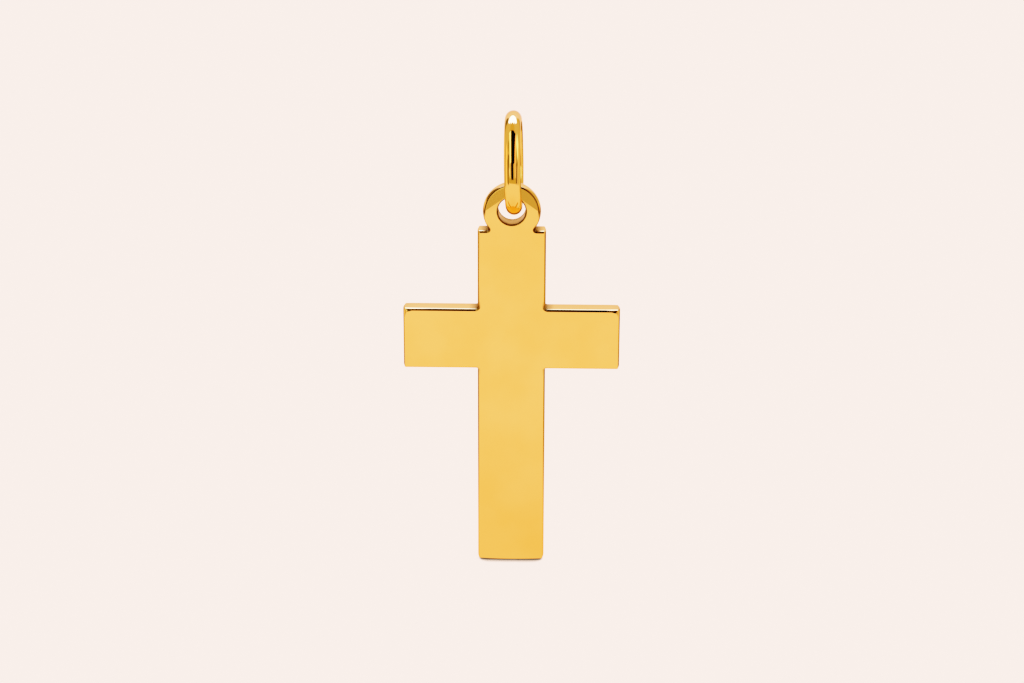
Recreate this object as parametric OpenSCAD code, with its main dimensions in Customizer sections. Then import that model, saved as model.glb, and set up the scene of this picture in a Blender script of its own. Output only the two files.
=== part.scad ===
// Cross pendant: a flat metal cross with a round eyelet, which hangs on the wire of a round bail.
// Sizes are in millimetres. The cross faces -Y and hangs down along -Z. The origin is the top of
// the bail's opening, where a chain carries it.

/* [Cross] */
// Width of the crossbar from tip to tip
cross_w = 12.0; // [9:0.1:18]
// Height of the crossbar
crossbar_h = 3.45; // [2.6:0.05:5]
// Width of the upright
upright_w = 3.75; // [3.2:0.05:5]
// Length of the upper arm, from the crossbar up to the shoulders
upper_arm_h = 4.55; // [3:0.05:8]
// Length of the lower arm, from the crossbar down to the foot
lower_arm_h = 11.7; // [7:0.1:18]
// Thickness of the metal from front to back
metal_t = 1.13; // [0.95:0.01:1.4]
// How far the sides bulge out at mid thickness
side_crown = 0.10; // [0.05:0.01:0.12]
// Width of the bevel along the front and back edges, seen from the front
edge_bevel = 0.07; // [0.04:0.01:0.1]
// Radius of the arms' outer corners, seen from the front
corner_r = 0.25; // [0.15:0.01:0.4]

/* [Eyelet] */
// Width of the metal round the hole
eyelet_wall = 0.83; // [0.6:0.01:1.1]
// Height of the eyelet's middle above the shoulders
eyelet_rise = 1.0; // [0.6:0.05:1.2]
// How far the hole's middle lies above the eyelet's middle
hole_lift = 0.12; // [0:0.01:0.2]
// Clearance all round the bail's wire if it ran through the middle of the hole
hole_play = 0.31; // [0.22:0.01:0.5]
// Width of the bevel at each end of the hole
hole_bevel = 0.10; // [0.05:0.01:0.15]
// Distance from the hole to where the eyelet starts to get thinner towards its rim
slope_start = 0.10; // [0.06:0.01:0.2]
// How steeply each of the eyelet's two slopes falls back
slope_tilt = 17; // [8:1:22]
// How far each slope is turned to its side, away from the top
slope_turn = 36; // [25:1:45]

/* [Bail] */
// Outer diameter of the bail
bail_d = 5.65; // [5:0.05:8]
// Diameter of the bail's wire
wire_d = 0.89; // [0.7:0.01:1.1]
// Clearance between the wire and the top of the hole that hangs on it
hang_gap = 0.04; // [0.02:0.01:0.08]

/* [Hidden] */
$fn = 96;

half_t = metal_t / 2;
crown_r = (half_t * half_t + side_crown * side_crown) / (2 * side_crown);
edge_w = side_crown + edge_bevel;
upright_h = upper_arm_h + crossbar_h + lower_arm_h;

hole_r = wire_d / 2 + hole_play;
eyelet_r = hole_r + eyelet_wall;

bail_inner_r = bail_d / 2 - wire_d;
bail_mid_r = bail_d / 2 - wire_d / 2;
bail_z = -bail_inner_r;
wire_z = bail_z - bail_mid_r;

// The bail curves up towards both ends of the hole, so the hole's top clears it there
bore_half = half_t - hole_bevel;
wire_rise = bail_inner_r - sqrt(bail_inner_r * bail_inner_r - bore_half * bore_half);
hole_z = wire_z - (hole_play - hang_gap - wire_rise);
eyelet_z = hole_z - hole_lift;
shoulder_z = eyelet_z - eyelet_rise;
crossbar_z = shoulder_z - upper_arm_h - crossbar_h / 2;
upright_z = shoulder_z - upright_h / 2;

// Room by which a cutting or bounding shape reaches past the metal
spare = 0.5;

// One crowned side of a section, as a round stretch that ends at the section's middle
module crowned_side(span) {
    intersection() {
        translate([span / 2 - crown_r, 0]) circle(crown_r);
        translate([0, -metal_t]) square([span, 2 * metal_t]);
    }
}

// A section's flat faces and the bevels beside them, with room for the crowned sides
module bevelled_band(span) {
    face = span / 2 - edge_w;
    side = span / 2 + side_crown;
    side_t = half_t - (side - face);
    polygon([
        [-face, half_t], [face, half_t], [side, side_t], [side, -side_t],
        [face, -half_t], [-face, -half_t], [-side, -side_t], [-side, side_t]
    ]);
}

// Section through the metal: flat front and back, crowned sides and bevelled edges
module metal_section(span) {
    intersection() {
        bevelled_band(span);
        union() {
            square([span - 2 * edge_w, 2 * metal_t], center = true);
            crowned_side(span);
            mirror([1, 0]) crowned_side(span);
        }
    }
}

// Front outline of a bar, a little too large, so that only its round corners cut the bar
module corner_outline(w, h) {
    allowance = side_crown / 2;
    square([w + 2 * allowance, h - 2 * corner_r], center = true);
    square([w - 2 * corner_r, h + 2 * allowance], center = true);
    for (x = [-1, 1], z = [-1, 1])
        translate([x * (w / 2 - corner_r), z * (h / 2 - corner_r)]) circle(corner_r + allowance);
}

// A flat bar that is crowned and bevelled on all four sides
module bar(w, h) {
    intersection() {
        linear_extrude(h + 2 * spare, center = true) metal_section(w);
        rotate([0, -90, 0]) linear_extrude(w + 2 * spare, center = true) metal_section(h);
        rotate([90, 0, 0]) linear_extrude(metal_t + 2 * spare, center = true) corner_outline(w, h);
    }
}

// The round end that the bail's wire passes through
module eyelet_disc() {
    rotate([90, 0, 0]) rotate_extrude() intersection() {
        metal_section(2 * eyelet_r);
        translate([0, -metal_t]) square([2 * eyelet_r, 2 * metal_t]);
    }
}

// The hole with its bevelled ends
module eyelet_hole() {
    mouth_h = hole_bevel + spare;
    rotate([90, 0, 0]) {
        cylinder(h = metal_t + 2 * spare, r = hole_r, center = true);
        for (side = [0, 1]) mirror([0, 0, side]) translate([0, 0, bore_half])
            cylinder(h = mouth_h, r1 = hole_r, r2 = hole_r + mouth_h);
    }
}

// What the front slope on the eyelet's right-hand side takes away
module slope_cut() {
    cut = 4 * eyelet_r;
    rotate([0, slope_turn, 0]) translate([0, -half_t, hole_r + slope_start])
        rotate([-slope_tilt, 0, 0]) translate([-cut / 2, -cut, 0]) cube(cut);
}

module cross() {
    color("gold") difference() {
        union() {
            translate([0, 0, upright_z]) bar(upright_w, upright_h);
            translate([0, 0, crossbar_z]) bar(cross_w, crossbar_h);
            translate([0, 0, eyelet_z]) eyelet_disc();
        }
        translate([0, 0, hole_z]) {
            eyelet_hole();
            for (across = [0, 1], back = [0, 1])
                mirror([across, 0, 0]) mirror([0, back, 0]) slope_cut();
        }
    }
}

module bail() {
    color("goldenrod") translate([0, 0, bail_z]) rotate([0, 90, 0])
        rotate_extrude() translate([bail_mid_r, 0]) circle(wire_d / 2);
}

cross();
bail();
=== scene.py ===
"""Looks of the cross pendant: a mirror-polished gold cross that hangs on a round wire bail.

Lengths are in millimetres while a mesh is made, and in metres once it is an object. The cross
faces -Y. Directions in the studio are an azimuth, 0 in front of the cross and 90 to its right as
seen from the front, and an elevation above the horizon, both in degrees.
"""

import logging
import math
from dataclasses import dataclass, field
from enum import Enum
from typing import Sequence

import bmesh
import bpy
from mathutils import Matrix, Vector
from mathutils.geometry import delaunay_2d_cdt


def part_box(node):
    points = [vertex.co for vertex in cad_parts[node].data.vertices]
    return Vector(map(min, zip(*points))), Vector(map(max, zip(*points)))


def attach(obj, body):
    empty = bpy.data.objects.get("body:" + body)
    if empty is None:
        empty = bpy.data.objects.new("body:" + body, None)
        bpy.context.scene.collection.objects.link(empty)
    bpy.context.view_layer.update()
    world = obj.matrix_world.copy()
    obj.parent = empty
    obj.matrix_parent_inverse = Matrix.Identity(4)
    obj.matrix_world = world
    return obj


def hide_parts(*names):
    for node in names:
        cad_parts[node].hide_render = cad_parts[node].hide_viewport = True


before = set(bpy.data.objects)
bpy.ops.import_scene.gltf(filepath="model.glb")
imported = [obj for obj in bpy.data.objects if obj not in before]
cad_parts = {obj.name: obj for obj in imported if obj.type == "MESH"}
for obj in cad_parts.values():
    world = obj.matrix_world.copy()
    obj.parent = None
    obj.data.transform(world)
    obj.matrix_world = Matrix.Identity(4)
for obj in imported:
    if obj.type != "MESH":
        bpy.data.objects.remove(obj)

LOG = logging.getLogger("pendant")

MM = 0.001

# Lengths in millimetres below which two points count as one, and at which a cut snaps to a point
TOUCH = 1e-6
SNAP = 1e-5

Colour = tuple[float, float, float]
Turn = tuple[float, float, float]
Span = tuple[float, float]


# Node graphs

# A Mix node's two numbers and its two colours, by the place of their sockets
MIX_NUMBERS = (2, 3)
MIX_COLOURS = (6, 7)

# How nodes are laid out, by column and row, where someone opens the graph
NODE_COLUMN = 180
NODE_ROW = -40
NODE_ROWS = 9


class Graph:
    """Adds nodes to one node tree and links them."""

    def __init__(self, tree: bpy.types.NodeTree) -> None:
        """Starts on the tree that gets the nodes."""
        self.tree = tree

    def add(self, kind: str, **settings: object) -> bpy.types.Node:
        """Adds a node.

        Args:
            kind: the node's type name in Blender.
            settings: the node's own properties and their values.

        Returns:
            The new node.
        """
        node = self.tree.nodes.new(kind)
        for name, value in settings.items():
            setattr(node, name, value)
        count = len(self.tree.nodes)
        node.location = (NODE_COLUMN * count, NODE_ROW * (count % NODE_ROWS))
        return node

    def feed(self, socket: bpy.types.NodeSocket, source: object) -> None:
        """Links a socket to another node's output, or sets its value.

        Args:
            socket: the input to fill.
            source: an output socket, or a plain value.
        """
        if isinstance(source, bpy.types.NodeSocket):
            self.tree.links.new(source, socket)
        else:
            socket.default_value = source

    def math(self, operation: str, *values: object, clamp: bool = False) -> bpy.types.NodeSocket:
        """Adds a Math node.

        Args:
            operation: the Math node's operation.
            values: its inputs in order, as sockets or numbers.
            clamp: whether the result is kept between 0 and 1.

        Returns:
            The result's socket.
        """
        node = self.add("ShaderNodeMath", operation=operation, use_clamp=clamp)
        for socket, value in zip(node.inputs, values):
            self.feed(socket, value)
        return node.outputs["Value"]

    def vector_math(self, operation: str, *values: object) -> bpy.types.NodeSocket:
        """Adds a Vector Math node.

        Args:
            operation: the node's operation.
            values: its vector inputs in order, as sockets or tuples.

        Returns:
            The resulting vector's socket.
        """
        node = self.add("ShaderNodeVectorMath", operation=operation)
        for socket, value in zip(node.inputs, values):
            self.feed(socket, value)
        return node.outputs["Vector"]

    def smooth(self, value: object, start: object, end: object) -> bpy.types.NodeSocket:
        """Adds a smooth step.

        Args:
            value: what is compared.
            start: the value that gives 0.
            end: the value that gives 1.

        Returns:
            The socket with the result, from 0 to 1.
        """
        node = self.add("ShaderNodeMapRange", interpolation_type="SMOOTHSTEP")
        self.feed(node.inputs["Value"], value)
        self.feed(node.inputs["From Min"], start)
        self.feed(node.inputs["From Max"], end)
        return node.outputs["Result"]

    def mix(self, share: object, first: object, second: object) -> bpy.types.NodeSocket:
        """Adds a mix of two numbers.

        Args:
            share: how much of the second number, from 0 to 1.
            first: the first number.
            second: the second number.

        Returns:
            The mixed number's socket.
        """
        node = self.add("ShaderNodeMix", data_type="FLOAT")
        self.feed(node.inputs[0], share)
        for index, value in zip(MIX_NUMBERS, (first, second)):
            self.feed(node.inputs[index], value)
        return node.outputs[0]

    def mix_colour(self, share: object, first: object, second: object) -> bpy.types.NodeSocket:
        """Adds a colour mix.

        Args:
            share: how much of the second colour, from 0 to 1.
            first: the first colour.
            second: the second colour.

        Returns:
            The mixed colour's socket.
        """
        node = self.add("ShaderNodeMix", data_type="RGBA")
        self.feed(node.inputs[0], share)
        for index, value in zip(MIX_COLOURS, (first, second)):
            linked = isinstance(value, bpy.types.NodeSocket)
            self.feed(node.inputs[index], value if linked else (*value, 1.0))
        return node.outputs[2]

    def noise(self, vector: object, scale: object, detail: float) -> bpy.types.NodeSocket:
        """Adds a noise texture.

        Args:
            vector: where it is looked up.
            scale: its scale.
            detail: its number of finer layers.

        Returns:
            The noise's value, about 0.5 on average.
        """
        node = self.add("ShaderNodeTexNoise")
        self.feed(node.inputs["Vector"], vector)
        self.feed(node.inputs["Scale"], scale)
        node.inputs["Detail"].default_value = detail
        return node.outputs["Fac"]

    def attribute(self, name: str) -> bpy.types.NodeSocket:
        """Gives a share that the mesh itself carries, or 0 on a mesh without it."""
        return self.add("ShaderNodeAttribute", attribute_name=name).outputs["Fac"]

    def parts(self, vector: object) -> list[bpy.types.NodeSocket]:
        """Splits a vector.

        Args:
            vector: the vector's socket.

        Returns:
            The sockets of its x, y and z.
        """
        node = self.add("ShaderNodeSeparateXYZ")
        self.feed(node.inputs[0], vector)
        return list(node.outputs)

    def joined(self, x: object, y: object, z: object) -> bpy.types.NodeSocket:
        """Makes a vector.

        Args:
            x: its x, as a socket or a number.
            y: its y.
            z: its z.

        Returns:
            The vector's socket.
        """
        node = self.add("ShaderNodeCombineXYZ")
        for socket, value in zip(node.inputs, (x, y, z)):
            self.feed(socket, value)
        return node.outputs["Vector"]

    def glow(self, light: object) -> bpy.types.NodeSocket:
        """Adds an emission shader.

        Args:
            light: the socket with its colour.

        Returns:
            The shader's socket.
        """
        node = self.add("ShaderNodeEmission")
        self.feed(node.inputs["Color"], light)
        return node.outputs["Emission"]

    def show(self, shader: bpy.types.NodeSocket, output: str = "ShaderNodeOutputMaterial") -> None:
        """Adds the tree's output node, with the shader as its surface."""
        self.feed(self.add(output).inputs["Surface"], shader)


def fresh_graph(owner: bpy.types.Material | bpy.types.World) -> Graph:
    """Starts a material's or a world's nodes anew.

    Args:
        owner: the material or the world.

    Returns:
        Its empty graph.
    """
    owner.use_nodes = True
    owner.node_tree.nodes.clear()
    return Graph(owner.node_tree)


class Effect:
    """A shader node group with named inputs and outputs, made once and placed where it is used."""

    def __init__(self, name: str, inputs: dict[str, object], outputs: dict[str, str]) -> None:
        """Makes the empty group.

        Args:
            name: the group's name.
            inputs: each input's name and its default, a number, a colour or a vector.
            outputs: each output's name and its socket type.
        """
        self.tree = bpy.data.node_groups.new(name, "ShaderNodeTree")
        self.graph = Graph(self.tree)
        for label, value in inputs.items():
            kind = "NodeSocketFloat" if isinstance(value, float) else (
                "NodeSocketColor" if len(value) == 4 else "NodeSocketVector")
            socket = self.tree.interface.new_socket(label, in_out="INPUT", socket_type=kind)
            socket.default_value = value
        for label, kind in outputs.items():
            self.tree.interface.new_socket(label, in_out="OUTPUT", socket_type=kind)
        self.given = self.graph.add("NodeGroupInput").outputs
        self.result = self.graph.add("NodeGroupOutput").inputs

    def place(self, graph: Graph, **values: object) -> bpy.types.Node:
        """Places the group in another tree.

        Args:
            graph: the tree that gets it.
            values: its inputs, with underscores for the spaces in their names.

        Returns:
            The group's node.
        """
        node = graph.add("ShaderNodeGroup", node_tree=self.tree)
        for name, value in values.items():
            graph.feed(node.inputs[name.replace("_", " ")], value)
        return node


def object_millimetres(graph: Graph) -> bpy.types.NodeSocket:
    """Gives the socket with the place on the piece, in millimetres."""
    place = graph.add("ShaderNodeTexCoord").outputs["Object"]
    return graph.vector_math("DIVIDE", place, (MM, MM, MM))


# Noise values between which clouds and patches fade in, and how much of them a line's edge takes
CLOUD_FADE = (0.3, 0.7)
PATCH_FADE = (0.35, 0.65)
LINE_FADE = 0.12


def polish_waves() -> Effect:
    """Makes the slow waves that hand polishing leaves in a surface.

    Returns:
        The group. Height is in millimetres.
    """
    effect = Effect(
        "Polish Waves",
        {"Place": (0.0, 0.0, 0.0), "Wavelength": 2.0, "Depth": 0.001},
        {"Height": "NodeSocketFloat", "Cloud": "NodeSocketFloat"},
    )
    graph, given = effect.graph, effect.given
    finer, fine_share = 3.1, 0.16
    scale = graph.math("DIVIDE", 1.0, given["Wavelength"])
    slow = graph.noise(given["Place"], scale, 1.0)
    fine = graph.noise(given["Place"], graph.math("MULTIPLY", scale, finer), 2.0)
    both = graph.math("MULTIPLY_ADD", fine, fine_share, slow)
    centred = graph.math("SUBTRACT", both, (1 + fine_share) / 2)
    graph.feed(effect.result["Height"], graph.math("MULTIPLY", centred, given["Depth"]))
    graph.feed(effect.result["Cloud"], graph.smooth(slow, *CLOUD_FADE))
    return effect


def polish_lines() -> Effect:
    """Makes fine lines that run about one way, as a wheel or a cloth leaves them.

    Returns:
        The group. Mask is 1 in a line, and Height is in millimetres.
    """
    effect = Effect(
        "Polish Lines",
        {"Place": (0.0, 0.0, 0.0), "Turn": (0.0, 0.0, 0.0), "Spacing": 0.06, "Length": 1.5,
         "Sparseness": 0.66, "Depth": 0.00002},
        {"Mask": "NodeSocketFloat", "Height": "NodeSocketFloat"},
    )
    graph, given = effect.graph, effect.given
    turned = graph.add("ShaderNodeVectorRotate", rotation_type="EULER_XYZ")
    graph.feed(turned.inputs["Vector"], given["Place"])
    graph.feed(turned.inputs["Rotation"], given["Turn"])
    along, across, up = graph.parts(turned.outputs["Vector"])
    stretched = graph.joined(
        graph.math("DIVIDE", along, given["Length"]),
        graph.math("DIVIDE", across, given["Spacing"]),
        graph.math("DIVIDE", up, given["Spacing"]))
    lines = graph.noise(stretched, 1.0, 1.0)
    full = graph.math("ADD", given["Sparseness"], LINE_FADE)
    mask = graph.smooth(lines, given["Sparseness"], full)
    graph.feed(effect.result["Mask"], mask)
    depth = graph.math("MULTIPLY", given["Depth"], -1.0)
    graph.feed(effect.result["Height"], graph.math("MULTIPLY", mask, depth))
    return effect


def patchy_share() -> Effect:
    """Breaks up a share that the mesh carries into soft patches, for wear and for the painted
    shade.

    Returns:
        The group. Share is from 0 to 1.
    """
    effect = Effect(
        "Patchy Share",
        {"Place": (0.0, 0.0, 0.0), "Share": 0.0, "Patchiness": 0.6, "Patch Size": 0.8},
        {"Share": "NodeSocketFloat"},
    )
    graph, given = effect.graph, effect.given
    patches = graph.noise(given["Place"], graph.math("DIVIDE", 1.0, given["Patch Size"]), 2.0)
    kept = graph.smooth(patches, *PATCH_FADE)
    less = graph.math("MULTIPLY", graph.math("SUBTRACT", 1.0, kept), given["Patchiness"])
    graph.feed(effect.result["Share"], graph.math(
        "MULTIPLY", given["Share"], graph.math("SUBTRACT", 1.0, less), clamp=True))
    return effect


def gold_tone() -> Effect:
    """Makes gold's drift between a warmer and a paler yellow, with painted shade laid over it.

    Returns:
        The group, whose Colour is the metal's own colour with the painted shade laid over it.
    """
    effect = Effect(
        "Gold Tone",
        {"Place": (0.0, 0.0, 0.0), "Warm": (1.0, 1.0, 1.0, 1.0), "Pale": (1.0, 1.0, 1.0, 1.0),
         "Patch Size": 3.0, "Residue": 0.0, "Browned": (1.0, 1.0, 1.0, 1.0)},
        {"Colour": "NodeSocketColor"},
    )
    graph, given = effect.graph, effect.given
    patches = graph.noise(given["Place"], graph.math("DIVIDE", 1.0, given["Patch Size"]), 3.0)
    drift = graph.mix_colour(graph.smooth(patches, *CLOUD_FADE), given["Warm"], given["Pale"])
    graph.feed(effect.result["Colour"], graph.mix_colour(given["Residue"], drift, given["Browned"]))
    return effect


@dataclass
class Effects:
    """The effects that the gold finishes share."""

    waves: Effect = field(default_factory=polish_waves)
    lines: Effect = field(default_factory=polish_lines)
    patches: Effect = field(default_factory=patchy_share)
    tone: Effect = field(default_factory=gold_tone)


@dataclass(frozen=True)
class PolishedGold:
    """Mirror-polished yellow gold.

    The warm and pale colours and the grazing tint are the metal's own, and the dark brown colour
    is that of painted shade. Lengths are in millimetres. The mesh says where its edges are worn,
    where painted shade darkens and roughens its recesses and hole, where a painted dark line stands
    in for dark reflections along an upper edge and for contact shadow at the foot, and where a
    file cut its slopes.
    """

    name: str
    warm: Colour = (0.960, 0.660, 0.250)
    pale: Colour = (0.980, 0.700, 0.292)
    # The colour of the painted shade and the painted dark lines
    painted_dark: Colour = (0.055, 0.024, 0.007)
    tone_patch: float = 3.0
    wave_length: float = 2.2
    wave_depth: float = 0.0013
    hairline_turn: Turn = (0.0, 0.9, 0.3)
    hairline_spacing: float = 0.05
    hairline_length: float = 1.6
    hairline_depth: float = 0.00002
    filed_turn: Turn = (0.0, 0.0, 0.0)
    filed_spacing: float = 0.07
    filed_length: float = 2.0
    filed_sparseness: float = 0.44
    filed_depth: float = 0.0002
    # The painted shade is broken into patches, and it also makes the surface rougher
    shade_patch: float = 0.25
    shade_patchiness: float = 0.1
    gloss: float = 0.035
    dull: float = 0.075
    hairline_dull: float = 0.03
    wear_dull: float = 0.03
    shade_dull: float = 0.30
    grazing_tint: Colour = (0.90, 0.72, 0.45)

    def material(self, effects: Effects) -> bpy.types.Material:
        """Makes the material.

        Args:
            effects: the shared node groups.

        Returns:
            The material.
        """
        made = bpy.data.materials.new(self.name)
        graph = fresh_graph(made)
        place = object_millimetres(graph)
        waves = effects.waves.place(
            graph, Place=place, Wavelength=self.wave_length, Depth=self.wave_depth)
        hairlines = effects.lines.place(
            graph, Place=place, Turn=self.hairline_turn, Spacing=self.hairline_spacing,
            Length=self.hairline_length, Depth=self.hairline_depth)
        filed = effects.lines.place(
            graph, Place=graph.vector_math("ABSOLUTE", place), Turn=self.filed_turn,
            Spacing=self.filed_spacing, Length=self.filed_length,
            Sparseness=self.filed_sparseness, Depth=self.filed_depth)
        wear = effects.patches.place(graph, Place=place, Share=graph.attribute("edge_share"))
        # Painted shade, broken into patches, darkens and roughens the recesses and the hole
        painted_shade = effects.patches.place(
            graph, Place=place, Share=graph.attribute("painted_shade_share"),
            Patchiness=self.shade_patchiness, Patch_Size=self.shade_patch)
        # Painted shade and painted dark lines darken the colour alike
        painted_dark = graph.math("MAXIMUM", painted_shade.outputs["Share"], graph.attribute("painted_line_share"))
        tone = effects.tone.place(
            graph, Place=place, Warm=(*self.warm, 1.0), Pale=(*self.pale, 1.0),
            Patch_Size=self.tone_patch, Residue=painted_dark, Browned=(*self.painted_dark, 1.0))

        rough = graph.math(
            "MULTIPLY_ADD", waves.outputs["Cloud"], self.dull - self.gloss, self.gloss)
        for mask, dull in ((hairlines.outputs["Mask"], self.hairline_dull),
                           (wear.outputs["Share"], self.wear_dull),
                           (painted_shade.outputs["Share"], self.shade_dull)):
            rough = graph.math("MULTIPLY_ADD", mask, dull, rough)
        cut = graph.math("MULTIPLY", filed.outputs["Height"], graph.attribute("slope_share"))
        height = graph.math("ADD", waves.outputs["Height"], hairlines.outputs["Height"])
        bump = graph.add("ShaderNodeBump")
        bump.inputs["Strength"].default_value = 1.0
        bump.inputs["Distance"].default_value = MM
        graph.feed(bump.inputs["Height"], graph.math("ADD", height, cut))

        metal = graph.add("ShaderNodeBsdfPrincipled")
        metal.inputs["Metallic"].default_value = 1.0
        metal.inputs["Specular Tint"].default_value = (*self.grazing_tint, 1.0)
        graph.feed(metal.inputs["Base Color"], tone.outputs["Colour"])
        graph.feed(metal.inputs["Roughness"], rough)
        graph.feed(metal.inputs["Normal"], bump.outputs["Normal"])
        graph.show(metal.outputs["BSDF"])
        return made


# Meshes


def place_mesh(mesh: bmesh.types.BMesh, name: str) -> bpy.types.Object:
    """Turns a finished mesh into an object of the scene.

    Args:
        mesh: the mesh, in metres. It is freed.
        name: the object's name.

    Returns:
        The object.
    """
    data = bpy.data.meshes.new(name)
    mesh.to_mesh(data)
    mesh.free()
    made = bpy.data.objects.new(name, data)
    bpy.context.scene.collection.objects.link(made)
    return made


# Powers by which a share changes late along an edge, a side and the foot's bow
LATE_END = 6
LATE_SIDE = 4
LATE_BOW = 8


def bump_of(away: float, half: float) -> float:
    """Gives a smooth bump, 1 in its middle and 0 from half its width on."""
    return math.cos(math.pi / 2 * min(1.0, abs(away) / half)) ** 2


def ramp(value: float, start: float, end: float) -> float:
    """Gives a smooth step, 0 up to the start and 1 from the end on."""
    share = min(1.0, max(0.0, (value - start) / (end - start)))
    return share * share * (3 - 2 * share)


def fill_round(mesh: bmesh.types.BMesh, rows: list[list[bmesh.types.BMVert]],
               inward: bool = False) -> None:
    """Fills the strips between rows of vertices that go round, the last and the first included.

    Args:
        mesh: the mesh that gets the faces.
        rows: the rows in order.
        inward: whether the faces look towards what the rows go round.
    """
    for first, last in zip(rows, rows[1:] + rows[:1]):
        if inward:
            first, last = last, first
        for i in range(len(first) - 1):
            mesh.faces.new((first[i], last[i], last[i + 1], first[i + 1]))


class Side(Enum):
    """A flat side of the cross, by the sign of its y."""

    FRONT = -1
    BACK = 1


class Bend(Enum):
    """Which way an outline turns at a corner."""

    CONVEX = 1
    CONCAVE = -1


class Region(Enum):
    """Part of the cross's flat sides, by how the eyelet is thinned there."""

    FLAT = 0
    LEFT_SLOPE = -1
    RIGHT_SLOPE = 1


@dataclass(frozen=True)
class Station:
    """A point of the cross's front outline, with the outward direction there."""

    x: float
    z: float
    out_x: float
    out_z: float

    def inset(self, depth: float) -> tuple[float, float]:
        """Gives the point that far inside the outline."""
        return self.x - depth * self.out_x, self.z - depth * self.out_z


@dataclass(frozen=True)
class WearAndShade:
    """How worn the surface is at a point, and how much painted shade and painted dark line lie on
    it there, each from 0 to 1.
    """

    worn: float = 0.0
    painted_shade: float = 0.0
    line: float = 0.0


@dataclass(frozen=True)
class RimPoint:
    """A point of a cross-section that runs from the back over mid thickness to the front.

    Inset is its depth inside the outline or, at the hole, its distance from the hole's middle.
    Height is above mid thickness, and out and front are the parts of the surface's direction.
    """

    inset: float
    height: float
    out: float
    front: float
    wear: WearAndShade

    def mirrored(self) -> "RimPoint":
        """Gives its mirror image on the other side of mid thickness."""
        return RimPoint(self.inset, -self.height, self.out, -self.front, self.wear)


def whole_section(half: list[RimPoint]) -> list[RimPoint]:
    """Adds the mirror image to a section that starts at mid thickness."""
    return [point.mirrored() for point in reversed(half)] + half[1:]


@dataclass(frozen=True)
class Trim:
    """How the rim is rounded and darkened by painted shade at one place, with lengths in
    millimetres.

    The edge is rounded over edge_w as seen from the front and over edge_d of the thickness. Its
    painted dark line ends where the surface turns by line_to degrees from the outward direction.
    """

    edge_w: float
    edge_d: float
    crown: float
    line: float
    line_to: float
    edge_painted_shade: float
    side_painted_shade: float


@dataclass(frozen=True)
class Spot:
    """A place on the outline, and its mirror image, where painted shade darkens the edge and the
    side.
    """

    x: float
    z: float
    reach: float
    edge_painted_shade: float
    side_painted_shade: float

    def share(self, station: Station) -> float:
        """Gives how strongly the spot shows at a station, from 0 to 1."""
        return bump_of(math.hypot(abs(station.x) - self.x, station.z - self.z), self.reach)


def arc(centre: tuple[float, float], radius: float, start: float, end: float, count: int,
        bend: Bend) -> list[Station]:
    """Makes the stations of an arc.

    Args:
        centre: the arc's centre.
        radius: its radius.
        start: the outward direction's angle at its start, in degrees.
        end: that angle at its end.
        count: the number of steps.
        bend: which way it turns.

    Returns:
        The stations, both ends included.
    """
    made = []
    for i in range(count + 1):
        angle = math.radians(start + (end - start) * i / count)
        out_x, out_z = math.cos(angle), math.sin(angle)
        reach = radius * bend.value
        made.append(Station(centre[0] + reach * out_x, centre[1] + reach * out_z, out_x, out_z))
    return made


def run_between(first: Station, last: Station, step: float) -> list[Station]:
    """Makes the stations strictly between two that face the same way.

    Args:
        first: where the straight run starts.
        last: where it ends.
        step: about how far apart they are.

    Returns:
        The stations in order.
    """
    length = math.hypot(last.x - first.x, last.z - first.z)
    count = max(1, round(length / step))
    return [
        Station(first.x + (last.x - first.x) * i / count, first.z + (last.z - first.z) * i / count,
                first.out_x, first.out_z)
        for i in range(1, count)
    ]


def inside(loop: Sequence[tuple[float, float]], x: float, y: float) -> bool:
    """Tells whether a point lies inside a closed loop.

    Args:
        loop: the loop's points.
        x: the point's first coordinate.
        y: its second coordinate.

    Returns:
        True if it lies inside.
    """
    found = False
    for (x0, y0), (x1, y1) in zip(loop, [*loop[1:], loop[0]]):
        if (y0 > y) != (y1 > y) and x < (x1 - x0) * (y - y0) / (y1 - y0) + x0:
            found = not found
    return found


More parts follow.
